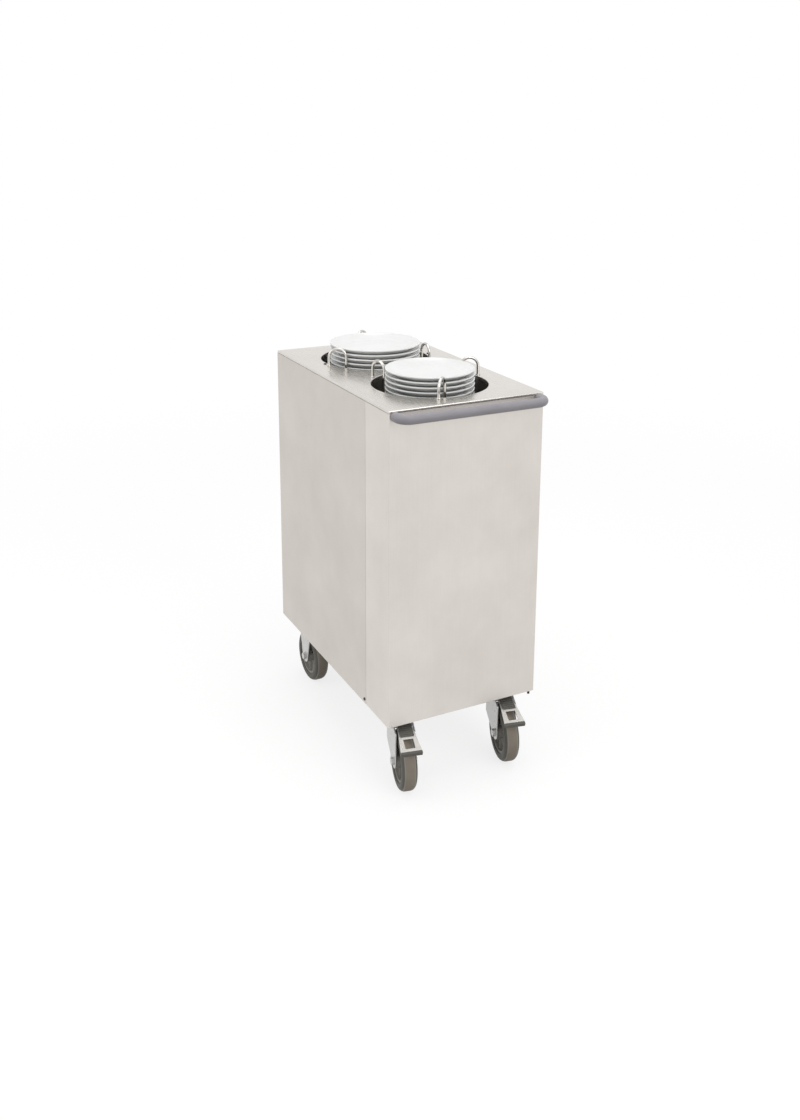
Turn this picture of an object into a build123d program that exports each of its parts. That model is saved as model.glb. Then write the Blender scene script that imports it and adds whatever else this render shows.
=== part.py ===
from build123d import *
import math
import os

os.makedirs("parts", exist_ok=True)

# A mobile two-stack plate dispenser. Millimetres. +X points to the handle end, +Z up, the floor is z = 0,
# and the origin is on the floor under the middle of the whole cart.

# Cabinet
deck_length = 670.0  # along X, over the covers
deck_width = 390.0  # along Y, over the covers
deck_height = 918.0  # floor to the top of the deck
body_bottom = 173.0  # floor to the lower edge of the covers
sheet = 1.5  # deck and covers
corner_radius = 3.0  # upright corners of the deck and the handle-end cover
deck_edge_radius = 1.8  # rounding of the deck's upper edge
deck_rim_depth = 5.0  # how far the deck's rim hangs down
shadow_gap = 1.0  # between the deck's rim and the covers
cover_return = 120.0  # length of the handle-end cover's two sides
seam_gap = 0.8  # open joint between the cover and a side panel
backing_strip_width = 26.0  # strip behind the seam
panel_gap = 0.3  # rear end panel to side panels

# Base tray and posts
tray_sheet = 2.0
tray_recess = 2.0  # underside of the tray above the covers' lower edge
tray_flange = 30.0
post_leg = 25.0
post_sheet = 2.0
post_notch_gap = 2.0  # between a post and the tray's flanges

# Push handle
handle_reach = 48.0  # end cover to the outside of the grip
handle_centre_below_deck = 12.5
handle_end_inset = 13.5  # side of the cabinet to the middle of a handle leg
handle_bend_radius = 25.0
grip_radius = 11.0
handle_tube_radius = 8.5
handle_tube_wall = 1.5
handle_plug_length = 15.0
handle_bolt_radius = 3.0
handle_bolt_length = 14.0
handle_bolt_head_radius = 5.5
handle_bolt_head_height = 4.0

# Plate wells
well_spacing = 300.0
opening_radius = 137.0
lip_depth = 10.0  # turned-down lip of an opening
lip_radius = 1.2
tube_wall = 1.2
tube_play = 0.1  # well tube round the opening's lip
arm_directions = (60.0, 180.0, 300.0)  # degrees from the first guide

# Plates
plate_count = 16  # in each stack, with the top one
plate_pitch = 11.6
plate_rest_gap = 0.05
floor_thickness = 7.0
rim_thickness = 4.6
foot_width = 5.0
front_plate_radius = 105.0
front_plate_rise = 22.0
front_stack_proud = 38.0  # rim of the top plate above the deck
rear_plate_radius = 115.0
rear_plate_rise = 24.0
rear_stack_proud = 42.0

# Wire plate guides
guide_wire_radius = 3.5
guide_span = 43.0  # between the two legs
guide_height = 46.0  # above the deck
guide_outside_opening = 9.0  # opening's edge to the outer leg's middle
guide_inner_depth = 110.0  # reach of the inner leg below the deck
guide_plate_play = 0.6  # inner leg to the plates' rims
front_guide_heading = -20.0  # direction of the first guide's outer leg from the well's middle
rear_guide_heading = -76.0
sleeve_length = 40.0
sleeve_radius = 6.0
running_play = 0.05  # radial play of a turning fit
end_play = 0.2
collar_radius = 5.6
collar_height = 2.0
guide_hole_radius = 3.8

# Plate carriers and springs
carrier_margin = 10.0  # plate's rim to the platform's rim
carrier_sheet = 2.0
carrier_depth = 150.0  # platform down to the arms
carrier_post_radius = 70.0  # where the uprights stand
carrier_hub_radius = 22.0
arm_width = 14.0
arm_thickness = 4.0
arm_overhang = 9.0  # beyond the spring's middle
carrier_top_below_deck = 25.0  # platform at the upper stop
carrier_bottom_height = 418.0  # platform at the lower stop
slot_play = 2.0  # arm to the slot's sides and ends
spring_radius = 7.0
spring_wire = 1.6
spring_clear_of_tube = 7.4
tab_below_deck = 28.0
tab_thickness = 3.0
tab_width = 16.0
tab_overhang = 6.0

# Castors
castor_end_inset = 60.0  # end cover to the stem of a swivel castor
castor_side_inset = 59.0
castor_heading = -13.0  # degrees from +X to the way a swivel castor's wheel trails
castor_trail = 41.0
fixed_end_inset = 72.0  # rear end panel to the axle of a fixed castor
wheel_radius = 70.0
tyre_width = 37.0
tyre_depth = 20.0
tyre_crown = 12.0
hub_radius = 18.0
hub_length = 40.0
hub_play = 1.0  # hub to a fork cheek
web_thickness = 9.0
rim_width = 30.0
rim_depth = 5.0
axle_radius = 5.0
axle_head_radius = 9.5
axle_head_height = 6.5
plate_length = 95.0
plate_width = 75.0
plate_thickness = 3.5
plate_corner = 6.0
bolt_spacing_x = 75.0
bolt_spacing_y = 55.0
castor_bolt_radius = 4.0
castor_bolt_head = 6.5
castor_bolt_head_height = 5.3
castor_bolt_hole = 4.3
race_radius = 27.0
race_depth = 6.5
race_gap = 0.3
fork_top_thickness = 6.0
fork_sheet = 3.5
fork_cheek_back = 30.0  # behind the stem
fork_cheek_front = 20.0  # past the stem, on the trailing side
fork_cheek_depth = 70.0
fork_boss_radius = 17.0
fork_lug_radius = 7.0  # round a pedal's pin
fork_nose = (52.0, 142.0)  # past the stem, above the floor
fork_nose_radius = 6.0
fixed_neck = 29.0  # half the fixed fork's length between the bolts
fixed_neck_height = 8.0
fixed_shoulder = 38.0  # half the fixed fork's length under the bolts
fixed_shoulder_height = 12.0
kingpin_radius = 5.0
kingpin_nut_radius = 8.5
kingpin_nut_height = 7.0

# Brake pedals
pedal_pivot_out = 28.5  # past the stem
pedal_pivot_height = 150.0
pedal_pin_radius = 3.0
pedal_pin_overhang = 2.0
pedal_sheet = 2.5
pedal_start = (29.0, 163.0)  # past the stem, above the floor
pedal_end = (115.0, 136.0)
pedal_root_width = 30.0
pedal_end_width = 50.0
pedal_ear_thickness = 2.5
pedal_ear_radius = 5.0
window_length = 28.0
window_width = 23.0
window_from_end = 8.0
pedal_travel = 8.0  # degrees
shoe_from = 50.0  # past the stem
shoe_length = 14.0
shoe_width = 28.0
shoe_gap_when_pressed = 0.6
pad_thickness = 2.5
pad_length = 48.0
pad_width = 32.0
lip_pad_length = 7.0  # past the pedal's end
lip_pad_depth = 9.0
lip_pad_under = 6.0  # under the pedal's end

# Small fasteners
screw_radius = 2.0
screw_head_radius = 3.6
screw_head_height = 1.8
screw_reach = 3.0
screw_above_edge = 10.0
seam_screw_back = 9.0
rear_screw_inset = 14.0
rear_screw_drop = 25.0
deck_screw_inset = 51.0
deck_screw_offset = 16.0
peg_inset = 9.0
peg_radius = 3.0
peg_below_edge = 11.0
peg_nut_radius = 4.6
peg_nut_height = 5.0

# Worked out
castor_slant = math.radians(castor_heading)
pedal_run = (pedal_end[0] - pedal_start[0], pedal_end[1] - pedal_start[1])
pedal_length = math.hypot(*pedal_run)
lip_out = pedal_end[0] + lip_pad_length * pedal_run[0] / pedal_length
wheel_reach = (
    (castor_trail + wheel_radius - tyre_crown) * math.cos(castor_slant)
    + (tyre_width / 2 - tyre_crown) * abs(math.sin(castor_slant))
    + tyre_crown
)
lip_reach = lip_out * math.cos(castor_slant) + pedal_end_width / 2 * abs(math.sin(castor_slant))
front_reach = max(handle_reach, wheel_reach - castor_end_inset, lip_reach - castor_end_inset)
cabinet_x = -front_reach / 2
handle_end_x = cabinet_x + deck_length / 2
rear_end_x = cabinet_x - deck_length / 2
half_width = deck_width / 2
seam_x = handle_end_x - cover_return
deck_underside = deck_height - sheet
rim_bottom = deck_height - deck_rim_depth
cover_top = rim_bottom - shadow_gap
cover_height = cover_top - body_bottom
tray_bottom = body_bottom + tray_recess
tray_top = tray_bottom + tray_sheet
handle_z = deck_height - handle_centre_below_deck
handle_leg_y = half_width - handle_end_inset
handle_bar_x = handle_end_x + handle_reach - grip_radius
front_well_x = cabinet_x + well_spacing / 2
rear_well_x = cabinet_x - well_spacing / 2
tube_inner = opening_radius + sheet + tube_play
tube_outer = tube_inner + tube_wall
guide_circle = opening_radius + guide_outside_opening
spring_circle = tube_outer + spring_clear_of_tube + spring_radius
tab_bottom = deck_height - tab_below_deck
nested_height = plate_pitch - plate_rest_gap
fork_top = tray_bottom - plate_thickness - race_depth - race_gap
stems = {
    "castor_1": (handle_end_x - castor_end_inset, -half_width + castor_side_inset),
    "castor_2": (handle_end_x - castor_end_inset, half_width - castor_side_inset),
    "castor_3": (rear_end_x + fixed_end_inset, -half_width + castor_side_inset),
    "castor_4": (rear_end_x + fixed_end_inset, half_width - castor_side_inset),
}
swivel = ("castor_1", "castor_2")
fixed = ("castor_3", "castor_4")
headings = {castor: castor_slant if castor in swivel else 0.0 for castor in stems}
trails = {castor: castor_trail if castor in swivel else 0.0 for castor in stems}


def polar(centre_x, radius, degrees):
    """A point at a radius and a direction from a well's middle."""
    angle = math.radians(degrees)
    return (centre_x + radius * math.cos(angle), radius * math.sin(angle))


def write(builder, name):
    """Labels a finished piece and writes it."""
    builder.part.label = name
    export_step(builder.part, f"parts/{name}.step")


# ---- Cabinet ----

well_points = [(front_well_x, 0), (rear_well_x, 0)]
guide_points = [polar(front_well_x, guide_circle, front_guide_heading + turn) for turn in (0, 120, 240)]
guide_points += [polar(rear_well_x, guide_circle, rear_guide_heading + turn) for turn in (0, 120, 240)]
deck_screw_points = [
    (rear_well_x + deck_screw_offset, side * (half_width - deck_screw_inset)) for side in (-1, 1)
]

with BuildPart() as top_deck:
    with BuildSketch(Plane.XY.offset(rim_bottom)):
        with Locations((cabinet_x, 0)):
            RectangleRounded(deck_length, deck_width, corner_radius)
            Rectangle(deck_length - 2 * sheet, deck_width - 2 * sheet, mode=Mode.SUBTRACT)
    extrude(amount=deck_rim_depth)
    with BuildSketch(Plane.XY.offset(deck_underside)):
        with Locations((cabinet_x, 0)):
            Rectangle(deck_length - 2 * sheet, deck_width - 2 * sheet)
    extrude(amount=sheet)
    with BuildSketch(Plane.XY.offset(deck_height - lip_depth)):
        with Locations(*well_points):
            Circle(opening_radius + sheet)
    extrude(amount=lip_depth)
    with BuildSketch(Plane.XY.offset(deck_height)):
        with Locations(*well_points):
            Circle(opening_radius)
    extrude(amount=-lip_depth, mode=Mode.SUBTRACT)
    deck_face = top_deck.faces().sort_by(Axis.Z)[-1]
    fillet(deck_face.outer_wire().edges(), deck_edge_radius)
    deck_face = top_deck.faces().sort_by(Axis.Z)[-1]
    fillet([edge for wire in deck_face.inner_wires() for edge in wire.edges()], lip_radius)
    with BuildSketch(Plane.XY.offset(deck_height)):
        with Locations(*guide_points):
            Circle(guide_hole_radius)
        with Locations(*deck_screw_points):
            Circle(screw_radius)
    extrude(amount=-sheet, mode=Mode.SUBTRACT)
write(top_deck, "top_deck")

with BuildPart() as handle_end_cover:
    with BuildSketch(Plane.XY.offset(body_bottom)):
        with BuildLine():
            FilletPolyline(
                (seam_x, -half_width),
                (handle_end_x, -half_width),
                (handle_end_x, half_width),
                (seam_x, half_width),
                radius=corner_radius,
            )
            offset(amount=sheet, side=Side.LEFT)
        make_face()
    extrude(amount=cover_height)
    with BuildSketch(Plane.YZ.offset(handle_end_x)):
        with Locations((-handle_leg_y, handle_z), (handle_leg_y, handle_z)):
            Circle(handle_bolt_radius + running_play)
    extrude(amount=-sheet, mode=Mode.SUBTRACT)
write(handle_end_cover, "handle_end_cover")

rear_screw_points = [
    (side * (half_width - rear_screw_inset), height)
    for side in (-1, 1)
    for height in (body_bottom + rear_screw_drop, cover_top - rear_screw_drop)
]
seam_screw_x = seam_x - seam_screw_back
seam_screw_z = body_bottom + screw_above_edge
panel_end_x = seam_x - seam_gap

for side, name in ((-1, "left_side_panel"), (1, "right_side_panel")):
    outer_y = side * half_width
    with BuildPart() as side_panel:
        with BuildSketch(Plane.XZ.offset(-outer_y)):
            with Locations((rear_end_x, body_bottom)):
                Rectangle(panel_end_x - rear_end_x, cover_height, align=Align.MIN)
            with Locations((seam_screw_x, seam_screw_z)):
                Circle(screw_radius, mode=Mode.SUBTRACT)
        extrude(amount=side * sheet)
        with BuildSketch(Plane.XZ.offset(-outer_y + side * sheet)):
            with Locations((seam_x, tray_top + tray_flange + seam_gap)):
                Rectangle(
                    backing_strip_width,
                    cover_top - tray_top - tray_flange - seam_gap,
                    align=(Align.CENTER, Align.MIN),
                )
        extrude(amount=side * sheet)
    write(side_panel, name)

with BuildPart() as rear_end_panel:
    with BuildSketch(Plane.YZ.offset(rear_end_x)):
        with Locations((0, body_bottom)):
            Rectangle(deck_width - 2 * (sheet + panel_gap), cover_height, align=(Align.CENTER, Align.MIN))
    extrude(amount=sheet)
    for screw_y, screw_z in rear_screw_points:
        with Locations(Plane(origin=(rear_end_x, screw_y, screw_z), z_dir=(-1, 0, 0))):
            CounterSinkHole(screw_radius, screw_head_radius, depth=sheet)
write(rear_end_panel, "rear_end_panel")

inner_length = deck_length - 2 * sheet
inner_width = deck_width - 2 * sheet
inner_corner = corner_radius - sheet
castor_bolt_points = [
    (stem_x + along, stem_y + across)
    for stem_x, stem_y in stems.values()
    for along in (-bolt_spacing_x / 2, bolt_spacing_x / 2)
    for across in (-bolt_spacing_y / 2, bolt_spacing_y / 2)
]
peg_point = (handle_end_x - peg_inset, half_width - peg_inset)
flange_notch = post_leg + post_notch_gap

with BuildPart() as base_tray:
    with BuildSketch(Plane.XY.offset(tray_bottom)):
        with Locations((cabinet_x, 0)):
            RectangleRounded(inner_length, inner_width, inner_corner)
        with Locations(*castor_bolt_points):
            Circle(castor_bolt_hole, mode=Mode.SUBTRACT)
        with Locations(peg_point):
            Circle(peg_radius + running_play, mode=Mode.SUBTRACT)
    extrude(amount=tray_sheet)
    with BuildSketch(Plane.XY.offset(tray_top)):
        with Locations((cabinet_x, 0)):
            with Locations((0, (inner_width - tray_sheet) / 2), (0, -(inner_width - tray_sheet) / 2)):
                Rectangle(inner_length - 2 * flange_notch, tray_sheet)
            with Locations(((inner_length - tray_sheet) / 2, 0), (-(inner_length - tray_sheet) / 2, 0)):
                Rectangle(tray_sheet, inner_width - 2 * flange_notch)
    extrude(amount=tray_flange)
    with BuildSketch(Plane.XZ.offset(half_width)):
        with Locations((seam_screw_x, seam_screw_z)):
            Circle(screw_radius)
    extrude(amount=-deck_width, mode=Mode.SUBTRACT)
write(base_tray, "base_tray")

with BuildPart() as corner_posts:
    with BuildSketch(Plane.XY.offset(tray_top)):
        with Locations((cabinet_x, 0)):
            RectangleRounded(inner_length, inner_width, inner_corner)
            Rectangle(inner_length - 2 * post_sheet, inner_width - 2 * post_sheet, mode=Mode.SUBTRACT)
            Rectangle(inner_length - 2 * post_leg, inner_width, mode=Mode.SUBTRACT)
            Rectangle(inner_length, inner_width - 2 * post_leg, mode=Mode.SUBTRACT)
    extrude(amount=deck_underside - tray_top)
    with BuildSketch(Plane.YZ.offset(handle_end_x)):
        with Locations((-handle_leg_y, handle_z), (handle_leg_y, handle_z)):
            Circle(handle_bolt_radius + running_play)
    extrude(amount=-post_leg, mode=Mode.SUBTRACT)
    with BuildSketch(Plane.YZ.offset(rear_end_x)):
        with Locations(*rear_screw_points):
            Circle(screw_radius)
    extrude(amount=post_leg, mode=Mode.SUBTRACT)
write(corner_posts, "corner_posts")

# ---- Push handle ----

handle_corners = [
    (handle_end_x, -handle_leg_y, handle_z),
    (handle_bar_x, -handle_leg_y, handle_z),
    (handle_bar_x, handle_leg_y, handle_z),
    (handle_end_x, handle_leg_y, handle_z),
]
handle_start = Plane(origin=handle_corners[0], z_dir=(1, 0, 0))
handle_tube_bore = handle_tube_radius - handle_tube_wall

with BuildPart() as push_handle_tube:
    with BuildLine() as handle_path:
        FilletPolyline(*handle_corners, radius=handle_bend_radius)
    with BuildSketch(handle_start):
        Circle(handle_tube_radius)
    sweep(path=handle_path.wires()[0])
    with BuildSketch(handle_start):
        Circle(handle_tube_bore)
    sweep(path=handle_path.wires()[0], mode=Mode.SUBTRACT)
    with BuildSketch(Plane.YZ.offset(handle_end_x)):
        with Locations((-handle_leg_y, handle_z), (handle_leg_y, handle_z)):
            Circle(handle_tube_bore)
            Circle(handle_bolt_radius, mode=Mode.SUBTRACT)
    extrude(amount=min(handle_plug_length, handle_bar_x - handle_end_x - handle_bend_radius))
write(push_handle_tube, "push_handle_tube")

with BuildPart() as push_handle_grip:
    with BuildLine() as grip_path:
        FilletPolyline(*handle_corners, radius=handle_bend_radius)
    with BuildSketch(handle_start):
        Circle(grip_radius)
    sweep(path=grip_path.wires()[0])
    with BuildSketch(handle_start):
        Circle(handle_tube_radius)
    sweep(path=grip_path.wires()[0], mode=Mode.SUBTRACT)
write(push_handle_grip, "push_handle_grip")

post_inner_x = handle_end_x - sheet - post_sheet
with BuildPart() as handle_bolts:
    for side in (-1, 1):
        with BuildSketch(Plane(origin=(post_inner_x, side * handle_leg_y, handle_z), z_dir=(-1, 0, 0))):
            RegularPolygon(handle_bolt_head_radius, 6)
        extrude(amount=handle_bolt_head_height)
        with BuildSketch(Plane(origin=(post_inner_x, side * handle_leg_y, handle_z), z_dir=(1, 0, 0))):
            Circle(handle_bolt_radius - running_play)
        extrude(amount=handle_bolt_length)
write(handle_bolts, "handle_bolts")

# ---- Small fasteners ----

with BuildPart() as cover_screws:
    for side in (-1, 1):
        face = Plane(origin=(seam_screw_x, side * half_width, seam_screw_z), z_dir=(0, side, 0))
        with BuildSketch(face):
            Circle(screw_head_radius)
        extrude(amount=screw_head_height)
        with BuildSketch(face):
            Circle(screw_radius - running_play)
        extrude(amount=-(sheet + tray_sheet + screw_reach))
    fillet(cover_screws.faces().filter_by(Axis.Y).sort_by(Axis.Y)[0].edges(), screw_head_height / 2)
    fillet(cover_screws.faces().filter_by(Axis.Y).sort_by(Axis.Y)[-1].edges(), screw_head_height / 2)
write(cover_screws, "cover_screws")

with BuildPart() as rear_panel_screws:
    for screw_y, screw_z in rear_screw_points:
        face = Plane(origin=(rear_end_x, screw_y, screw_z), z_dir=(1, 0, 0))
        with Locations(face):
            Cone(
                screw_head_radius - running_play,
                screw_head_radius - running_play - sheet,
                sheet,
                align=(Align.CENTER, Align.CENTER, Align.MIN),
            )
            Cylinder(
                screw_radius - running_play,
                sheet + post_sheet + screw_reach,
                align=(Align.CENTER, Align.CENTER, Align.MIN),
            )
write(rear_panel_screws, "rear_panel_screws")

with BuildPart() as deck_screws:
    with BuildSketch(Plane.XY.offset(deck_height)):
        with Locations(*deck_screw_points):
            Circle(screw_head_radius)
    extrude(amount=screw_head_height)
    fillet(deck_screws.faces().filter_by(Axis.Z).group_by(Axis.Z)[-1].edges(), screw_head_height / 2)
    with BuildSketch(Plane.XY.offset(deck_height)):
        with Locations(*deck_screw_points):
            Circle(screw_radius - running_play)
    extrude(amount=-(sheet + 2 * screw_reach))
    with BuildSketch(Plane.XY.offset(deck_underside)):
        with Locations(*deck_screw_points):
            RegularPolygon(screw_head_radius, 6)
    extrude(amount=-screw_reach)
write(deck_screws, "deck_screws")

with BuildPart() as corner_peg:
    with BuildSketch(Plane.XY.offset(body_bottom - peg_below_edge)):
        with Locations(peg_point):
            Circle(peg_radius)
    extrude(amount=tray_top + peg_nut_height - body_bottom + peg_below_edge)
    with BuildSketch(Plane.XY.offset(tray_top)):
        with Locations(peg_point):
            RegularPolygon(peg_nut_radius, 6)
    extrude(amount=peg_nut_height)
    with BuildSketch(Plane.XY.offset(tray_bottom)):
        with Locations(peg_point):
            RegularPolygon(peg_nut_radius, 6)
    extrude(amount=-peg_nut_height)
write(corner_peg, "corner_peg")

castor_plate_bottom = tray_bottom - plate_thickness
with BuildPart() as castor_bolts:
    with BuildSketch(Plane.XY.offset(castor_plate_bottom)):
        with Locations(*castor_bolt_points):
            RegularPolygon(castor_bolt_head, 6)
    extrude(amount=-castor_bolt_head_height)
    with BuildSketch(Plane.XY.offset(castor_plate_bottom)):
        with Locations(*castor_bolt_points):
            Circle(castor_bolt_radius)
    extrude(amount=plate_thickness + tray_sheet - end_play)
write(castor_bolts, "castor_bolts")


# ---- Plates ----


def make_plate(radius, rise):
    """One plate standing at the origin on its foot ring."""
    foot_outer = radius * 0.59
    floor_radius = foot_outer + 4.0
    floor_top = nested_height
    floor_underside = nested_height - floor_thickness
    rim_x = radius - rim_thickness / 2
    with BuildPart() as plate:
        with BuildSketch(Plane.XZ):
            with BuildLine():
                Polyline(
                    (0, floor_top),
                    (0, floor_underside),
                    (foot_outer - foot_width - 1.5, floor_underside),
                    (foot_outer - foot_width, 0),
                    (foot_outer - 1.0, 0),
                    (foot_outer + 1.5, floor_underside),
                )
                underside = TangentArc(
                    (foot_outer + 1.5, floor_underside), (rim_x, rise - rim_thickness), tangent=(1, 0)
                )
                ThreePointArc(underside @ 1, (radius, rise - rim_thickness / 2), (rim_x, rise))
                TangentArc((floor_radius, floor_top), (rim_x, rise), tangent=(1, 0))
                Line((floor_radius, floor_top), (0, floor_top))
            make_face()
        revolve(axis=Axis.Z)
    return plate.part


# ---- Plate wells ----

wells = {
    "front": (front_well_x, front_guide_heading, front_plate_radius, front_plate_rise, front_stack_proud),
    "rear": (rear_well_x, rear_guide_heading, rear_plate_radius, rear_plate_rise, rear_stack_proud),
}

for well, (well_x, heading, plate_radius, plate_rise, proud) in wells.items():
    top_foot = deck_height + proud - plate_rise
    platform_top = top_foot - (plate_count - 1) * plate_pitch
    arm_top = platform_top - carrier_depth
    arm_bottom = arm_top - arm_thickness
    highest_arm = arm_top + deck_height - carrier_top_below_deck - platform_top
    lowest_arm = carrier_bottom_height - carrier_depth - arm_thickness
    arm_headings = [heading + turn for turn in arm_directions]
    guide_headings = [heading + turn for turn in (0, 120, 240)]

    with BuildPart() as well_tube:
        with BuildSketch(Plane.XY.offset(tray_top)):
            with Locations((well_x, 0)):
                Circle(tube_outer)
                Circle(tube_inner, mode=Mode.SUBTRACT)
        extrude(amount=deck_underside - tray_top)
        for arm_heading in arm_headings:
            outward = (math.cos(math.radians(arm_heading)), math.sin(math.radians(arm_heading)), 0)
            with BuildSketch(Plane((well_x, 0, lowest_arm - slot_play), x_dir=outward)):
                with Locations((tube_outer, 0)):
                    Rectangle(4 * sleeve_radius, arm_width + 2 * slot_play)
            extrude(amount=highest_arm - lowest_arm + 2 * slot_play, mode=Mode.SUBTRACT)
            with BuildSketch(Plane((well_x, 0, tab_bottom), x_dir=outward)):
                tab_end = spring_circle + tab_overhang
                with Locations(((tube_inner + tube_wall / 2 + tab_end) / 2, 0)):
                    Rectangle(tab_end - tube_inner - tube_wall / 2, tab_width)
            extrude(amount=tab_thickness)
        with BuildSketch(Plane.XY.offset(tab_bottom)):
            with Locations((well_x, 0)):
                Circle(tube_inner)
        extrude(amount=tab_thickness, mode=Mode.SUBTRACT)
    write(well_tube, f"{well}_well_tube")

    sleeve_bottom = deck_underside - sleeve_length
    sleeve_points = [polar(well_x, guide_circle, turn) for turn in guide_headings]
    with BuildPart() as guide_sleeves:
        with BuildSketch(Plane.XY.offset(sleeve_bottom)):
            with Locations(*sleeve_points):
                Circle(sleeve_radius)
                Circle(guide_wire_radius + running_play, mode=Mode.SUBTRACT)
        extrude(amount=sleeve_length)
    write(guide_sleeves, f"{well}_guide_sleeves")

    inner_circle = plate_radius + guide_wire_radius + guide_plate_play
    guide_skew = math.degrees(
        math.acos((guide_circle**2 + guide_span**2 - inner_circle**2) / (2 * guide_circle * guide_span))
    )
    arch_z = deck_height + guide_height - guide_wire_radius - guide_span / 2
    leg_bottom = sleeve_bottom - end_play - collar_height
    print(well, "guide skew", round(guide_skew, 2), "platform top", platform_top)
    for number, guide_heading in enumerate(guide_headings, 1):
        foot_x, foot_y = polar(well_x, guide_circle, guide_heading)
        inward = math.radians(guide_heading + 180 - guide_skew)
        inward_x, inward_y = math.cos(inward), math.sin(inward)
        guide_plane = Plane(
            (foot_x, foot_y, 0), x_dir=(inward_x, inward_y, 0), z_dir=(inward_y, -inward_x, 0)
        )
        with BuildPart() as guide:
            with BuildLine(guide_plane) as wire:
                Line((0, leg_bottom), (0, arch_z))
                ThreePointArc(
                    (0, arch_z), (guide_span / 2, arch_z + guide_span / 2), (guide_span, arch_z)
                )
                Line((guide_span, arch_z), (guide_span, deck_height - guide_inner_depth))
            with BuildSketch(Plane((foot_x, foot_y, leg_bottom))):
                Circle(guide_wire_radius)
            sweep(path=wire.wires()[0])
            for collar_z in (deck_height + end_play, leg_bottom):
                with BuildSketch(Plane((foot_x, foot_y, collar_z))):
                    Circle(collar_radius)
                extrude(amount=collar_height)
        write(guide, f"{well}_guide_{number}")

    with BuildPart() as carrier:
        with BuildSketch(Plane.XY.offset(platform_top - carrier_sheet)):
            with Locations((well_x, 0)):
                Circle(plate_radius - carrier_margin)
        extrude(amount=carrier_sheet)
        with BuildSketch(Plane.XY.offset(arm_bottom)):
            with Locations((well_x, 0)):
                Circle(carrier_hub_radius)
        extrude(amount=arm_thickness)
        for arm_heading in arm_headings:
            outward = (math.cos(math.radians(arm_heading)), math.sin(math.radians(arm_heading)), 0)
            arm_length = spring_circle + arm_overhang
            with BuildSketch(Plane((well_x, 0, arm_bottom), x_dir=outward)):
                with Locations((arm_length / 2, 0)):
                    Rectangle(arm_length, arm_width)
            extrude(amount=arm_thickness)
            with BuildSketch(Plane((well_x, 0, arm_bottom), x_dir=outward)):
                with Locations((carrier_post_radius, 0)):
                    Rectangle(arm_thickness, arm_width)
            extrude(amount=platform_top - carrier_sheet - arm_bottom)
    write(carrier, f"{well}_carrier")

    spring_points = [polar(well_x, spring_circle, turn) for turn in arm_headings]
    with BuildPart() as springs:
        with BuildSketch(Plane.XY.offset(arm_top)):
            with Locations(*spring_points):
                Circle(spring_radius)
                Circle(spring_radius - spring_wire, mode=Mode.SUBTRACT)
        extrude(amount=tab_bottom - arm_top)
    write(springs, f"{well}_springs")

    plate = make_plate(plate_radius, plate_rise)
    with BuildPart() as plate_stack:
        with Locations(*[(well_x, 0, platform_top + n * plate_pitch) for n in range(plate_count - 1)]):
            add(plate)
    write(plate_stack, f"{well}_plate_stack")

    with BuildPart() as top_plate:
        with Locations((well_x, 0, top_foot)):
            add(plate)
    write(top_plate, f"{well}_top_plate")


# ---- Castors ----

rim_radius = wheel_radius - tyre_depth
cheek_inside = hub_length / 2 + hub_play
cheek_outside = cheek_inside + fork_sheet
crown_top = fork_top - fork_top_thickness + fork_sheet
nut_top = fork_top - fork_top_thickness - race_gap


def at_stem(castor, out, across, height):
    """A point measured from a castor's stem: out along the wheel, across to its left, up from the floor."""
    along_x, along_y = math.cos(headings[castor]), math.sin(headings[castor])
    return (
        stems[castor][0] + out * along_x - across * along_y,
        stems[castor][1] + out * along_y + across * along_x,
        height,
    )


def side_plane(castor, across):
    """An upright plane along the castor, where local x is out from the stem and local y is the height."""
    along_x, along_y = math.cos(headings[castor]), math.sin(headings[castor])
    return Plane(at_stem(castor, 0, across, 0), x_dir=(along_x, along_y, 0), z_dir=(along_y, -along_x, 0))


with BuildPart() as kingpins:
    for castor in swivel:
        with BuildSketch(Plane(at_stem(castor, 0, 0, nut_top - kingpin_nut_height))):
            RegularPolygon(kingpin_nut_radius, 6)
        extrude(amount=kingpin_nut_height)
        with BuildSketch(Plane(at_stem(castor, 0, 0, nut_top))):
            Circle(kingpin_radius)
        extrude(amount=tray_bottom - end_play - nut_top)
write(kingpins, "kingpins")

for castor, stem in stems.items():
    with BuildPart() as castor_plate:
        with BuildSketch(Plane((*stem, castor_plate_bottom))):
            RectangleRounded(plate_length, plate_width, plate_corner)
            with GridLocations(bolt_spacing_x, bolt_spacing_y, 2, 2):
                Circle(castor_bolt_hole, mode=Mode.SUBTRACT)
        extrude(amount=plate_thickness)
        if castor in swivel:
            with BuildSketch(Plane((*stem, castor_plate_bottom))):
                Circle(race_radius)
            extrude(amount=-race_depth)
            fillet(castor_plate.faces().sort_by(Axis.Z)[0].edges(), race_depth / 3)
            with BuildSketch(Plane((*stem, tray_bottom))):
                Circle(kingpin_radius + running_play)
            extrude(amount=-plate_thickness - race_depth, mode=Mode.SUBTRACT)
    write(castor_plate, f"{castor}_plate")

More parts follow.
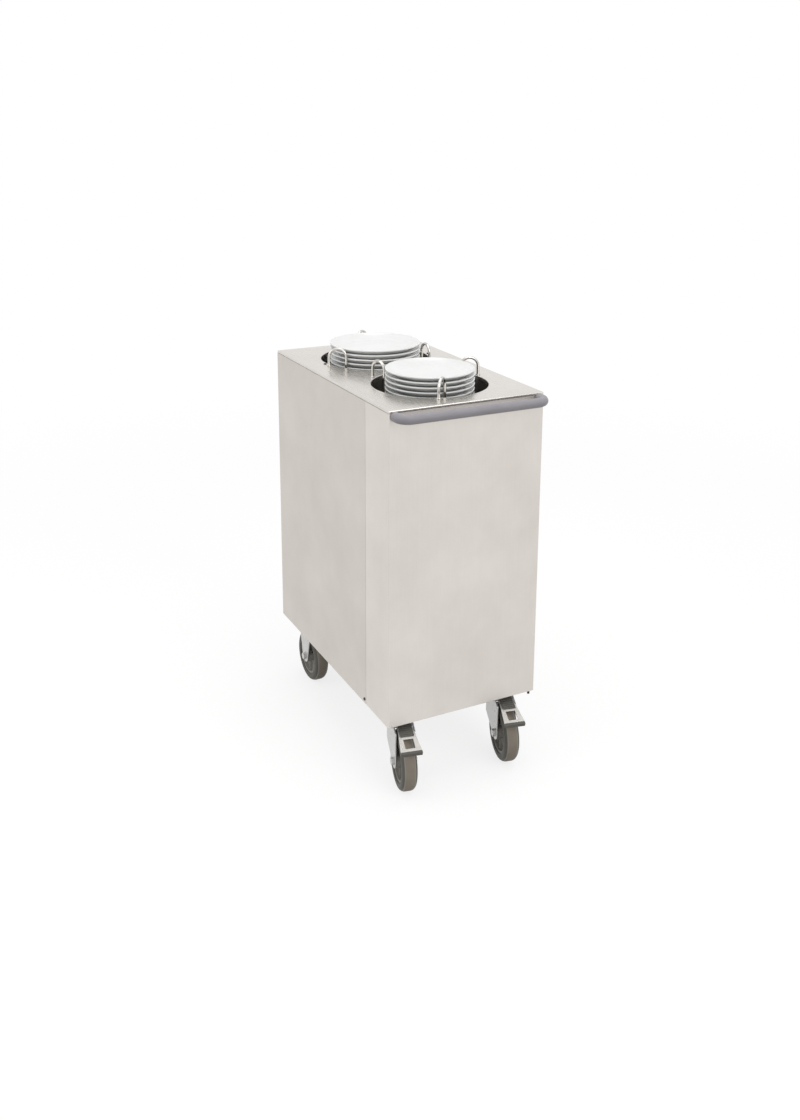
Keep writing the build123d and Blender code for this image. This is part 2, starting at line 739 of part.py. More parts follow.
for castor in swivel:
    with BuildPart() as fork:
        with BuildSketch(Plane((*stems[castor], fork_top))):
            Circle(race_radius - 1)
        extrude(amount=-fork_top_thickness)
        with BuildSketch(side_plane(castor, -cheek_outside)):
            with Locations((-fork_cheek_back, crown_top)):
                Rectangle(fork_cheek_back + fork_cheek_front, fork_sheet, align=(Align.MIN, Align.MAX))
        extrude(amount=-2 * cheek_outside)
        for cheek in (-cheek_outside, cheek_inside):
            with BuildSketch(side_plane(castor, cheek)):
                with Locations((-fork_cheek_back, crown_top)):
                    Rectangle(
                        fork_cheek_back + fork_cheek_front, fork_cheek_depth, align=(Align.MIN, Align.MAX)
                    )
                with Locations((pedal_pivot_out, pedal_pivot_height)):
                    Circle(fork_lug_radius)
                with Locations(fork_nose):
                    Circle(fork_nose_radius)
                with Locations((castor_trail, wheel_radius)):
                    Circle(fork_boss_radius)
                make_hull()
            extrude(amount=-fork_sheet)
        with BuildSketch(Plane((*stems[castor], fork_top))):
            Circle(kingpin_radius + running_play)
        extrude(amount=-fork_top_thickness, mode=Mode.SUBTRACT)
        with BuildSketch(side_plane(castor, -cheek_outside)):
            with Locations((castor_trail, wheel_radius)):
                Circle(axle_radius + running_play)
            with Locations((pedal_pivot_out, pedal_pivot_height)):
                Circle(pedal_pin_radius + running_play)
        extrude(amount=-2 * cheek_outside, mode=Mode.SUBTRACT)
    write(fork, f"{castor}_fork")

shoulder_top = castor_plate_bottom - fixed_neck_height
for castor in fixed:
    with BuildPart() as fork:
        with BuildSketch(side_plane(castor, -cheek_outside)):
            with Locations((0, castor_plate_bottom)):
                Rectangle(2 * fixed_neck, fork_sheet, align=(Align.CENTER, Align.MAX))
        extrude(amount=-2 * cheek_outside)
        for cheek in (-cheek_outside, cheek_inside):
            with BuildSketch(side_plane(castor, cheek)):
                with Locations((0, shoulder_top)):
                    Rectangle(2 * fixed_shoulder, fixed_shoulder_height, align=(Align.CENTER, Align.MAX))
                with Locations((0, wheel_radius)):
                    Circle(fork_boss_radius)
                make_hull()
                with Locations((0, castor_plate_bottom)):
                    Rectangle(
                        2 * fixed_neck,
                        fixed_neck_height + fixed_shoulder_height,
                        align=(Align.CENTER, Align.MAX),
                    )
            extrude(amount=-fork_sheet)
        with BuildSketch(side_plane(castor, -cheek_outside)):
            with Locations((0, wheel_radius)):
                Circle(axle_radius + running_play)
        extrude(amount=-2 * cheek_outside, mode=Mode.SUBTRACT)
    write(fork, f"{castor}_fork")

for castor in stems:
    trail = trails[castor]
    with BuildPart() as axle:
        with BuildSketch(side_plane(castor, -cheek_outside)):
            with Locations((trail, wheel_radius)):
                Circle(axle_radius)
        extrude(amount=-2 * cheek_outside)
        for across, way in ((-cheek_outside, 1), (cheek_outside, -1)):
            with BuildSketch(side_plane(castor, across)):
                with Locations((trail, wheel_radius)):
                    RegularPolygon(axle_head_radius, 6)
            extrude(amount=way * axle_head_height)
    write(axle, f"{castor}_axle")

    axle_point = at_stem(castor, trail, 0, wheel_radius)
    trailing = (math.cos(headings[castor]), math.sin(headings[castor]), 0)
    sideways = (-trailing[1], trailing[0], 0)
    wheel_plane = Plane(axle_point, x_dir=sideways, z_dir=trailing)
    wheel_axis = Axis(axle_point, sideways)
    with BuildPart() as rim:
        with BuildSketch(wheel_plane):
            with Locations((0, axle_radius + running_play)):
                Rectangle(
                    hub_length, hub_radius - axle_radius - running_play, align=(Align.CENTER, Align.MIN)
                )
            with Locations((0, hub_radius)):
                Rectangle(web_thickness, rim_radius - hub_radius, align=(Align.CENTER, Align.MIN))
            with Locations((0, rim_radius)):
                Rectangle(rim_width, rim_depth, align=(Align.CENTER, Align.MAX))
        revolve(axis=wheel_axis)
    write(rim, f"{castor}_rim")

    with BuildPart() as tyre:
        with BuildSketch(wheel_plane):
            with Locations((0, rim_radius)):
                Rectangle(tyre_width, tyre_depth, align=(Align.CENTER, Align.MIN))
            fillet(vertices().group_by(Axis.Y)[-1], tyre_crown)
        revolve(axis=wheel_axis)
    write(tyre, f"{castor}_tyre")


# ---- Brake pedals ----

slope_out = pedal_run[0] / pedal_length
slope_up = pedal_run[1] / pedal_length


def lowest_shoe(out):
    """The height at which a place on the shoe just clears the tread when the pedal is pressed."""
    tread = wheel_radius + math.sqrt(wheel_radius**2 - (out - castor_trail) ** 2)
    return tread + (out - pedal_pivot_out) * math.sin(math.radians(pedal_travel)) + shoe_gap_when_pressed


def inside_pedal(out):
    """The height of the middle of the pedal's sheet over a place that lies out from the stem."""
    return pedal_start[1] - pedal_sheet / 2 + (out - pedal_start[0]) * pedal_run[1] / pedal_run[0]


shoe_to = shoe_from + shoe_length
shoe_bottom = max(lowest_shoe(shoe_from), lowest_shoe(shoe_to))
ear_from = pedal_pivot_out - pedal_ear_radius
ear_to = pedal_pivot_out + pedal_ear_radius

along_x = math.cos(castor_slant)
along_y = math.sin(castor_slant)

for castor in swivel:
    pedal_x = (slope_out * along_x, slope_out * along_y, slope_up)
    pedal_z = (-slope_up * along_x, -slope_up * along_y, slope_out)
    pedal_plane = Plane(at_stem(castor, pedal_start[0], 0, pedal_start[1]), x_dir=pedal_x, z_dir=pedal_z)
    window_x = pedal_length - window_from_end - window_length / 2
    with BuildPart() as pedal:
        with BuildSketch(pedal_plane):
            with BuildLine():
                Polyline(
                    (0, -pedal_root_width / 2),
                    (pedal_length, -pedal_end_width / 2),
                    (pedal_length, pedal_end_width / 2),
                    (0, pedal_root_width / 2),
                    close=True,
                )
            make_face()
            with Locations((window_x, 0)):
                Rectangle(window_length, window_width, mode=Mode.SUBTRACT)
        extrude(amount=-pedal_sheet)
        for across in (-pedal_root_width / 2, pedal_root_width / 2 - pedal_ear_thickness):
            with BuildSketch(side_plane(castor, across)):
                with Locations((pedal_pivot_out, pedal_pivot_height)):
                    Circle(pedal_ear_radius)
                with BuildLine():
                    Polyline(
                        (ear_from, pedal_pivot_height),
                        (ear_from, inside_pedal(ear_from)),
                        (ear_to, inside_pedal(ear_to)),
                        (ear_to, pedal_pivot_height),
                        close=True,
                    )
                make_face()
            extrude(amount=-pedal_ear_thickness)
        with BuildSketch(side_plane(castor, -cheek_outside - pedal_pin_overhang)):
            with Locations((pedal_pivot_out, pedal_pivot_height)):
                Circle(pedal_pin_radius)
        extrude(amount=-2 * (cheek_outside + pedal_pin_overhang))
        with BuildSketch(side_plane(castor, -shoe_width / 2)):
            with BuildLine():
                Polyline(
                    (shoe_from, inside_pedal(shoe_from)),
                    (shoe_to, inside_pedal(shoe_to)),
                    (shoe_to, shoe_bottom),
                    (shoe_from, shoe_bottom),
                    close=True,
                )
            make_face()
        extrude(amount=-shoe_width)
    write(pedal, f"{castor}_brake_pedal")

    with BuildPart() as pedal_pads:
        with BuildSketch(pedal_plane):
            Rectangle(pad_length, pad_width, align=(Align.MIN, Align.CENTER))
        extrude(amount=pad_thickness)
        with BuildSketch(pedal_plane):
            with Locations((pedal_length, 0)):
                Rectangle(lip_pad_length, pedal_end_width, align=(Align.MIN, Align.CENTER))
        extrude(amount=-lip_pad_depth)
        with BuildSketch(pedal_plane.offset(-pedal_sheet)):
            with Locations((pedal_length, 0)):
                Rectangle(lip_pad_under, pedal_end_width, align=(Align.MAX, Align.CENTER))
        extrude(amount=pedal_sheet - lip_pad_depth)
    write(pedal_pads, f"{castor}_pedal_pads")
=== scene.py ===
import math

import bmesh
import bpy
import numpy as np
from mathutils import Matrix, Vector


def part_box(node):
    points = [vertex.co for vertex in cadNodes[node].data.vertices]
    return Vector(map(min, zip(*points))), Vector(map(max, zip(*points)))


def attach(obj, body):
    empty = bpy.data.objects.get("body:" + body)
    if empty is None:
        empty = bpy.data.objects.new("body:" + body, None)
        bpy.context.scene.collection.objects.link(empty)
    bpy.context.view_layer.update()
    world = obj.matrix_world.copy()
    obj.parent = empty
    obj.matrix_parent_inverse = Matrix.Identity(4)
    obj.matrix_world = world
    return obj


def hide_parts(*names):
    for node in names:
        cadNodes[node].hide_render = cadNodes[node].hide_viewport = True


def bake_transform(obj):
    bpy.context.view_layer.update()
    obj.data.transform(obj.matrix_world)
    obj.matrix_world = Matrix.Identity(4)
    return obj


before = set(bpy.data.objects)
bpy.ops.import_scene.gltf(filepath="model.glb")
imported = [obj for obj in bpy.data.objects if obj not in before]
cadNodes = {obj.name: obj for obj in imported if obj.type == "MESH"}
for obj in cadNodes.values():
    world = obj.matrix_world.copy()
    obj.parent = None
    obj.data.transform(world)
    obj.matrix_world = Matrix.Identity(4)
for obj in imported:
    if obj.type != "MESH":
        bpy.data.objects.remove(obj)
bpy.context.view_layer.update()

# A plate dispenser cart: enclosed steel cabinet, two sprung wells of plates, wire guides, push handle,
# castors. Metres, in the cart's own frame: +X to the handle end, +Z up, the floor at z = 0.
wellNames = ("front", "rear")
castorNames = ("castor_1", "castor_2", "castor_3", "castor_4")
swivelCastors, fixedCastors = castorNames[:2], castorNames[2:]  # the two at the handle end turn and brake


def tone(red, green, blue):
    # a colour as the eye reads it, 0 to 255, turned into the linear values that the shaders work in
    parts = [value / 255 for value in (red, green, blue)]
    return tuple(p / 12.92 if p <= 0.04045 else ((p + 0.055) / 1.055) ** 2.4 for p in parts) + (1.0,)


# ---- the camera, at the place that the photograph was taken from
photograph = {
    "wide": 800,
    "high": 1120,
    "standsAt": (2.392, -1.203, 1.557),
    "heading": 152.11,  # degrees from +X
    "dip": 13.80,
    "roll": 0.60,
    "focalPixels": 1139.6,
    "centre": (430, 380),  # where the lens points, in pixels of the photograph
}


def makeCamera(photo):
    heading, dip, roll = (math.radians(photo[k]) for k in ("heading", "dip", "roll"))
    ahead = np.array([math.cos(heading) * math.cos(dip), math.sin(heading) * math.cos(dip), -math.sin(dip)])
    right = np.cross(ahead, [0, 0, 1])
    right /= np.linalg.norm(right)
    up = np.cross(right, ahead)
    rolledRight = right * math.cos(roll) + up * math.sin(roll)
    rolledUp = up * math.cos(roll) - right * math.sin(roll)
    data = bpy.data.cameras.new("photographCamera")
    data.lens = data.sensor_width * photo["focalPixels"] / photo["high"]
    data.shift_x = (photo["wide"] / 2 - photo["centre"][0]) / photo["high"]
    data.shift_y = (photo["centre"][1] - photo["high"] / 2) / photo["high"]
    data.clip_start, data.clip_end = 0.05, 60
    camera = bpy.data.objects.new("photographCamera", data)
    bpy.context.scene.collection.objects.link(camera)
    stance = np.eye(4)
    stance[:3] = np.stack([rolledRight, rolledUp, -ahead, photo["standsAt"]], axis=1)
    camera.matrix_world = Matrix(stance.tolist())
    bpy.context.scene.camera = camera


makeCamera(photograph)
bpy.context.scene.view_settings.view_transform = "Standard"
print("camera placed")


# ---- floor, backdrop and lamps
studio = {
    "floorHalf": 14.0,
    "floorTone": (0.45, 0.45, 0.45, 1),  # what the cart is lit by
    # what the camera sees: some paper that takes the shadow, some plain white
    "paperTone": (0.24, 0.24, 0.24, 1),
    "paperGlow": 0.78,
    "fade": (1.2, 3.6),  # metres from the cart where the paper turns to plain white
    "skyStrength": 0.80,
    "lamps": (
        # name, where it hangs, where it points, size, watts
        ("handleEndLamp", (3.4, 0.9, 2.6), (0.2, 0.0, 0.6), 2.2, 34),
        ("leftSideLamp", (-0.6, -3.6, 2.4), (0.0, 0.0, 0.5), 2.4, 26),
        ("topLamp", (0.2, 0.1, 3.4), (0.0, 0.0, 0.8), 2.6, 30),
    ),
}


def seenDirectly(tree, *kinds):
    # 1 for a ray of any of the given kinds, otherwise 0
    path = tree.nodes.new("ShaderNodeLightPath")
    value = path.outputs[kinds[0]]
    for kind in kinds[1:]:
        either = tree.nodes.new("ShaderNodeMath")
        either.operation = "MAXIMUM"
        tree.links.new(value, either.inputs[0])
        tree.links.new(path.outputs[kind], either.inputs[1])
        value = either.outputs[0]
    return value


def chooseByRay(tree, forLight, forEye):
    # the first shader lights the cart, the second is what the camera and clear reflections see
    choose = tree.nodes.new("ShaderNodeMixShader")
    seen = seenDirectly(tree, "Is Camera Ray", "Is Glossy Ray", "Is Transmission Ray")
    tree.links.new(seen, choose.inputs["Fac"])
    tree.links.new(forLight, choose.inputs[1])
    tree.links.new(forEye, choose.inputs[2])
    return choose.outputs[0]


def makeStudio(plan):
    half = plan["floorHalf"]
    mesh = bpy.data.meshes.new("floor")
    corners = [(-half, -half, 0), (half, -half, 0), (half, half, 0), (-half, half, 0)]
    mesh.from_pydata(corners, [], [(0, 1, 2, 3)])
    floor = bpy.data.objects.new("floor", mesh)
    bpy.context.scene.collection.objects.link(floor)
    material = bpy.data.materials.new("floorPaper")
    material.use_nodes = True
    tree = material.node_tree
    tree.nodes.clear()
    lit = tree.nodes.new("ShaderNodeBsdfDiffuse")
    lit.inputs["Color"].default_value = plan["floorTone"]
    paper = tree.nodes.new("ShaderNodeBsdfDiffuse")
    paper.inputs["Color"].default_value = plan["paperTone"]
    glow = tree.nodes.new("ShaderNodeEmission")
    glow.inputs["Strength"].default_value = plan["paperGlow"]
    both = tree.nodes.new("ShaderNodeAddShader")
    tree.links.new(paper.outputs[0], both.inputs[0])
    tree.links.new(glow.outputs[0], both.inputs[1])
    white = tree.nodes.new("ShaderNodeEmission")
    white.inputs["Strength"].default_value = 1.0
    place = tree.nodes.new("ShaderNodeTexCoord")
    distance = tree.nodes.new("ShaderNodeVectorMath")
    distance.operation = "LENGTH"
    tree.links.new(place.outputs["Object"], distance.inputs[0])
    away = tree.nodes.new("ShaderNodeMapRange")
    away.interpolation_type = "SMOOTHSTEP"
    away.inputs["From Min"].default_value, away.inputs["From Max"].default_value = plan["fade"]
    tree.links.new(distance.outputs["Value"], away.inputs["Value"])
    fading = tree.nodes.new("ShaderNodeMixShader")
    tree.links.new(away.outputs["Result"], fading.inputs["Fac"])
    tree.links.new(both.outputs[0], fading.inputs[1])
    tree.links.new(white.outputs[0], fading.inputs[2])
    out = tree.nodes.new("ShaderNodeOutputMaterial")
    tree.links.new(chooseByRay(tree, lit.outputs[0], fading.outputs[0]), out.inputs["Surface"])
    mesh.materials.append(material)

    world = bpy.data.worlds.new("studioWorld")
    bpy.context.scene.world = world
    world.use_nodes = True
    tree = world.node_tree
    tree.nodes.clear()
    light = tree.nodes.new("ShaderNodeBackground")
    light.inputs["Strength"].default_value = plan["skyStrength"]
    white = tree.nodes.new("ShaderNodeBackground")
    white.inputs["Color"].default_value = (1, 1, 1, 1)
    out = tree.nodes.new("ShaderNodeOutputWorld")
    tree.links.new(chooseByRay(tree, light.outputs[0], white.outputs[0]), out.inputs["Surface"])

    for name, place, target, size, watts in plan["lamps"]:
        data = bpy.data.lights.new(name, "AREA")
        data.size, data.energy = size, watts
        lamp = bpy.data.objects.new(name, data)
        bpy.context.scene.collection.objects.link(lamp)
        lamp.location = place
        aim = Vector(target) - Vector(place)
        lamp.rotation_euler = aim.to_track_quat("-Z", "Y").to_euler()


makeStudio(studio)
print("studio lit")


# ---- finishes
def newFinish(name):
    material = bpy.data.materials.new(name)
    material.use_nodes = True
    tree = material.node_tree
    return material, tree, tree.nodes["Principled BSDF"]


def patternPlace(tree, stretch=(1, 1, 1)):
    # object coordinates, stretched so that a round pattern becomes a grain
    where = tree.nodes.new("ShaderNodeTexCoord")
    mapping = tree.nodes.new("ShaderNodeMapping")
    mapping.inputs["Scale"].default_value = stretch
    tree.links.new(where.outputs["Object"], mapping.inputs["Vector"])
    return mapping.outputs["Vector"]


def noise(tree, vector, scale, detail=3.0, roughness=0.55):
    texture = tree.nodes.new("ShaderNodeTexNoise")
    texture.inputs["Scale"].default_value = scale
    texture.inputs["Detail"].default_value = detail
    texture.inputs["Roughness"].default_value = roughness
    tree.links.new(vector, texture.inputs["Vector"])
    return texture.outputs["Fac"]


def spread(tree, value, low, high, start=0.3, end=0.7):
    # a noise value mapped to the range of a socket
    ranger = tree.nodes.new("ShaderNodeMapRange")
    ranger.inputs["From Min"].default_value = start
    ranger.inputs["From Max"].default_value = end
    ranger.inputs["To Min"].default_value = low
    ranger.inputs["To Max"].default_value = high
    tree.links.new(value, ranger.inputs["Value"])
    return ranger.outputs["Result"]


def between(tree, value, first, second):
    # a colour that goes from the first to the second with the value
    ramp = tree.nodes.new("ShaderNodeValToRGB")
    ramp.color_ramp.elements[0].position, ramp.color_ramp.elements[0].color = 0.3, first
    ramp.color_ramp.elements[1].position, ramp.color_ramp.elements[1].color = 0.7, second
    tree.links.new(value, ramp.inputs["Fac"])
    return ramp.outputs["Color"]


def addBump(tree, shader, height, depth, strength=1.0):
    bump = tree.nodes.new("ShaderNodeBump")
    bump.inputs["Strength"].default_value = strength
    bump.inputs["Distance"].default_value = depth
    tree.links.new(height, bump.inputs["Height"])
    tree.links.new(bump.outputs["Normal"], shader.inputs["Normal"])


def brushedSteel(name, light, dark, stretch, rough, bump=0.00003, blotches=0.12):
    # sheet with a fine grain along one direction, faint smears of handling and a slightly uneven gloss
    material, tree, shader = newFinish(name)
    grainPlace = patternPlace(tree, stretch)
    grain = noise(tree, grainPlace, 1.0, 4.0, 0.65)
    smear = noise(tree, patternPlace(tree), 5.0, 4.0)
    colour = between(tree, smear, dark, light)
    shade = tree.nodes.new("ShaderNodeMix")
    shade.data_type, shade.blend_type = "RGBA", "MULTIPLY"
    shade.inputs["Factor"].default_value = blotches
    tree.links.new(colour, shade.inputs["A"])
    tree.links.new(between(tree, grain, (0.55, 0.55, 0.55, 1), (1, 1, 1, 1)), shade.inputs["B"])
    tree.links.new(shade.outputs["Result"], shader.inputs["Base Color"])
    shader.inputs["Metallic"].default_value = 1.0
    tree.links.new(spread(tree, grain, rough[0], rough[1]), shader.inputs["Roughness"])
    addBump(tree, shader, grain, bump)
    return material


def plainFinish(name, light, dark, rough, metallic=0.0, grainSize=300.0, bump=0.00002, coat=0.0, level=0.5):
    # cast, moulded or plated surface: a fine even grain and a slow change of shade
    material, tree, shader = newFinish(name)
    place = patternPlace(tree)
    slow = noise(tree, place, 14.0, 3.0)
    fine = noise(tree, place, grainSize, 2.0)
    tree.links.new(between(tree, slow, dark, light), shader.inputs["Base Color"])
    tree.links.new(spread(tree, slow, rough[0], rough[1]), shader.inputs["Roughness"])
    shader.inputs["Metallic"].default_value = metallic
    shader.inputs["Coat Weight"].default_value = coat
    shader.inputs["Specular IOR Level"].default_value = level
    addBump(tree, shader, fine, bump)
    return material


finishes = {
    # the side and end panels are one steel: the end panels' lighter tone is painted light, the side panels'
    # darker, warmer tone is painted shade
    "sidePanel": brushedSteel(
        "sidePanelSteel", tone(214, 208, 202), tone(204, 198, 191),
        stretch=(900, 900, 9), rough=(0.40, 0.50),
    ),
    "endPanel": brushedSteel(
        "endPanelSteel", tone(224, 219, 213), tone(214, 208, 202),
        stretch=(900, 900, 9), rough=(0.40, 0.50),
    ),
    "deck": brushedSteel(
        "deckSteel", tone(224, 220, 215), tone(212, 207, 201),
        stretch=(9, 900, 900), rough=(0.22, 0.32),
    ),
    "frame": brushedSteel(
        "frameSteel", tone(170, 168, 165), tone(150, 148, 144),
        stretch=(300, 300, 20), rough=(0.35, 0.5),
    ),
    "well": brushedSteel(
        "wellSteel", tone(172, 170, 166), tone(148, 145, 140),
        stretch=(500, 500, 12), rough=(0.30, 0.42),
    ),
    "spring": plainFinish(
        "springWire", tone(150, 150, 152), tone(120, 120, 122),
        rough=(0.25, 0.4), metallic=1.0,
    ),
    "guide": plainFinish(
        "guideChrome", tone(214, 212, 208), tone(196, 193, 188),
        rough=(0.06, 0.12), metallic=1.0, grainSize=900.0, bump=0.000004,
    ),
    "glaze": plainFinish(
        "plateGlaze", tone(229, 230, 229), tone(224, 225, 223),
        rough=(0.14, 0.22), grainSize=60.0, bump=0.00004, coat=0.25,
    ),
    "grip": plainFinish(
        "gripVinyl", tone(150, 147, 152), tone(138, 135, 140),
        rough=(0.42, 0.55), grainSize=700.0, bump=0.00003,
    ),
    "zinc": plainFinish(
        "castorZinc", tone(216, 215, 214), tone(196, 195, 192),
        rough=(0.24, 0.36), metallic=0.6, grainSize=260.0, bump=0.00002,
    ),
    "darkSteel": plainFinish(
        "darkSteel", tone(74, 72, 70), tone(54, 52, 51),
        rough=(0.35, 0.5), metallic=1.0,
    ),
    "nylon": plainFinish(
        "wheelNylon", tone(150, 147, 140), tone(136, 133, 126),
        rough=(0.45, 0.6),
    ),
    "tyre": plainFinish(
        "tyreRubber", tone(152, 143, 130), tone(134, 125, 113),
        rough=(0.62, 0.8), grainSize=500.0, bump=0.00006, level=0.3,
    ),
    "tyreSide": plainFinish(
        "tyreSide", tone(100, 98, 90), tone(86, 84, 77),
        rough=(0.5, 0.66), grainSize=500.0, bump=0.00004, level=0.35,
    ),
    # the shoulder's pale band: a painted highlight along the edge between side and tread
    "tyreShoulderHighlight": plainFinish(
        "tyreShoulderHighlight", tone(150, 146, 140), tone(138, 134, 128),
        rough=(0.45, 0.6), grainSize=500.0, bump=0.00003,
    ),
    "pedalRubber": plainFinish(
        "pedalRubber", tone(98, 96, 89), tone(80, 78, 72),
        rough=(0.55, 0.7), grainSize=500.0, bump=0.00006,
    ),
}
wearers = {
    "sidePanel": ("left_side_panel", "right_side_panel"),
    "endPanel": ("handle_end_cover", "rear_end_panel"),
    "deck": ("top_deck",),
    "frame": ("base_tray", "corner_posts", "front_carrier", "rear_carrier", "push_handle_tube"),
    "well": ("front_well_tube", "rear_well_tube", "front_guide_sleeves", "rear_guide_sleeves"),
    "spring": ("front_springs", "rear_springs"),
    "guide": tuple(f"{well}_guide_{n}" for well in wellNames for n in (1, 2, 3)),
    "glaze": tuple(f"{well}_{kind}" for well in wellNames for kind in ("plate_stack", "top_plate")),
    "grip": ("push_handle_grip",),
    "zinc": ("handle_bolts", "castor_bolts", "kingpins", "rear_panel_screws")
    + tuple(f"{castor}_{part}" for castor in castorNames for part in ("plate", "fork", "axle"))
    + tuple(f"{castor}_brake_pedal" for castor in swivelCastors),
    "darkSteel": ("cover_screws", "deck_screws", "corner_peg"),
    "nylon": tuple(f"{castor}_rim" for castor in castorNames),
    "tyre": tuple(f"{castor}_tyre" for castor in castorNames),
    "pedalRubber": tuple(f"{castor}_pedal_pads" for castor in swivelCastors),
}
for finish, names in wearers.items():
    for name in names:
        mesh = cadNodes[name].data
        mesh.materials.clear()
        mesh.materials.append(finishes[finish])
print("finishes given to", sum(len(names) for names in wearers.values()), "of", len(cadNodes), "nodes")


# ---- tools for the pieces made here
closedEnd = 0.00001  # radius at which the end of a carried circle counts as closed


def gridFaces(rows, columns, wrapRows, wrapColumns):
    # the four corners of every cell of a grid, whose last row or column may join the first
    row = np.arange(rows if wrapRows else rows - 1)[:, None]
    column = np.arange(columns if wrapColumns else columns - 1)[None, :]
    nextRow, nextColumn = (row + 1) % rows, (column + 1) % columns
    corners = [row * columns + column, row * columns + nextColumn, nextRow * columns + nextColumn]
    corners.append(nextRow * columns + column)
    return np.stack([np.broadcast_to(c, (row.size, column.size)).ravel() for c in corners], axis=1)


def finishPiece(name, mesh, finish, body, replaced, sharpAngle):
    # doubles merged at poles and seams, faces turned outwards, edges over the sharp angle kept crisp
    worked = bmesh.new()
    worked.from_mesh(mesh)
    bmesh.ops.remove_doubles(worked, verts=worked.verts, dist=2e-6)
    bmesh.ops.recalc_face_normals(worked, faces=worked.faces)
    worked.to_mesh(mesh)
    worked.free()
    mesh.polygons.foreach_set("use_smooth", np.ones(len(mesh.polygons), dtype=bool))
    mesh.set_sharp_from_angle(angle=math.radians(sharpAngle))
    for each in finish if isinstance(finish, (list, tuple)) else [finish]:
        mesh.materials.append(each)
    piece = bpy.data.objects.new(name, mesh)
    bpy.context.scene.collection.objects.link(piece)
    if body:
        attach(piece, body)
    if replaced:
        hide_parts(*replaced)
    return piece


def surfaces(name, grids, finish, body=None, replaced=(), sharpAngle=35.0, bands=None):
    # grids are (points, wrapRows, wrapColumns); bands gives each row's material slot
    points, faces, slots, start = [], [], [], 0
    for grid, wrapRows, wrapColumns in grids:
        rows, columns = grid.shape[:2]
        cells = gridFaces(rows, columns, wrapRows, wrapColumns)
        points.append(grid.reshape(-1, 3))
        faces.append(cells + start)
        if bands is not None:
            slots.append(np.asarray(bands)[cells[:, 0] // columns])
        start += rows * columns
    mesh = bpy.data.meshes.new(name)
    mesh.from_pydata(np.concatenate(points).tolist(), [], np.concatenate(faces).tolist())
    if bands is not None:
        mesh.polygons.foreach_set("material_index", np.concatenate(slots).astype(np.int32))
    return finishPiece(name, mesh, finish, body, replaced, sharpAngle)


def turned(profile, centre, axis, segments, ripple=None):
    # profile rows are (along the axis, radius), carried round the axis;
    # ripple(along, radius, angle) gives an extra distance along the axis
    axis = np.array(axis, dtype=float) / np.linalg.norm(axis)
    helper = np.array([1.0, 0, 0]) if abs(axis[0]) < 0.8 else np.array([0, 0, 1.0])
    across = np.cross(axis, helper)
    across /= np.linalg.norm(across)
    third = np.cross(axis, across)
    angle = np.linspace(0, 2 * math.pi, segments, endpoint=False)
    along, radius = profile[:, 0][:, None], profile[:, 1][:, None]
    shifted = along + (ripple(along, radius, angle[None, :]) if ripple else 0 * angle[None, :])
    out = np.cos(angle)[None, :, None] * across + np.sin(angle)[None, :, None] * third
    return np.array(centre) + shifted[:, :, None] * axis + radius[:, :, None] * out


def carried(path, radii, upright, sides):
    # a circle of the given radius at each point of a flat path; upright is square to the path's plane
    upright = np.array(upright, dtype=float)
    tangent = np.gradient(path, axis=0)
    tangent /= np.linalg.norm(tangent, axis=1)[:, None]
    across = np.cross(tangent, upright)
    angle = np.linspace(0, 2 * math.pi, sides, endpoint=False)
    ring = np.cos(angle)[None, :, None] * across[:, None, :] + np.sin(angle)[None, :, None] * upright
    return path[:, None, :] + np.asarray(radii)[:, None, None] * ring


def arc(centre, radius, start, end, count):
    # points on a flat circle, angles in degrees
    angle = np.radians(np.linspace(start, end, count))
    return np.stack([centre[0] + radius * np.cos(angle), centre[1] + radius * np.sin(angle)], axis=1)


def roundedLine(corners, radius, steps):
    # a line through the corners whose bends are arcs, by sliding along both legs of each bend
    corners = np.array(corners, dtype=float)
    points = [corners[:1]]
    for before, here, after in zip(corners[:-2], corners[1:-1], corners[2:]):
        inward = (before - here) / np.linalg.norm(before - here)
        onward = (after - here) / np.linalg.norm(after - here)
        half = math.acos(float(np.clip(inward @ onward, -1, 1))) / 2
        middle = here + (inward + onward) / np.linalg.norm(inward + onward) * radius / math.sin(half)
        first, last = here + inward * radius / math.tan(half), here + onward * radius / math.tan(half)
        share = np.linspace(0, 1, steps)[:, None]
        bend = (first - middle) * (1 - share) + (last - middle) * share
        points.append(middle + bend / np.linalg.norm(bend, axis=1)[:, None] * radius)
    points.append(corners[-1:])
    return np.concatenate(points)


def evenly(path, spacing):
    # the same line with points at even distances
    steps = np.linalg.norm(np.diff(path, axis=0), axis=1)
    reach = np.concatenate([[0], np.cumsum(steps)])
    wanted = np.linspace(0, reach[-1], max(2, int(round(reach[-1] / spacing)) + 1))
    return np.stack([np.interp(wanted, reach, path[:, k]) for k in range(3)], axis=1)


def softened(name, nodes, finish, body, width, segments=2, sharpAngle=30.0):
    # a copy of CAD solids with flat faces joined and a small round on every crisp edge; no round at width 0
    worked = bmesh.new()
    for node in nodes:
        worked.from_mesh(cadNodes[node].data)
    bmesh.ops.remove_doubles(worked, verts=worked.verts, dist=2e-6)
    flat = math.radians(0.4)
    bmesh.ops.dissolve_limit(
        worked, angle_limit=flat, verts=worked.verts, edges=worked.edges, use_dissolve_boundaries=False
    )
    mesh = bpy.data.meshes.new(name)
    worked.to_mesh(mesh)
    worked.free()
    mesh.polygons.foreach_set("use_smooth", np.ones(len(mesh.polygons), dtype=bool))
    mesh.materials.append(finish)
    piece = bpy.data.objects.new(name, mesh)
    bpy.context.scene.collection.objects.link(piece)
    if width > 0:
        soft = piece.modifiers.new("edgeRound", "BEVEL")
        soft.width, soft.segments, soft.use_clamp_overlap = width, segments, False
        soft.limit_method, soft.angle_limit = "ANGLE", math.radians(sharpAngle)
        shading = piece.modifiers.new("flatShading", "WEIGHTED_NORMAL")
        shading.mode, shading.weight, shading.keep_sharp = "FACE_AREA", 100, True
    else:
        mesh.set_sharp_from_angle(angle=math.radians(sharpAngle))
    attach(piece, body)
    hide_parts(*nodes)
    return piece


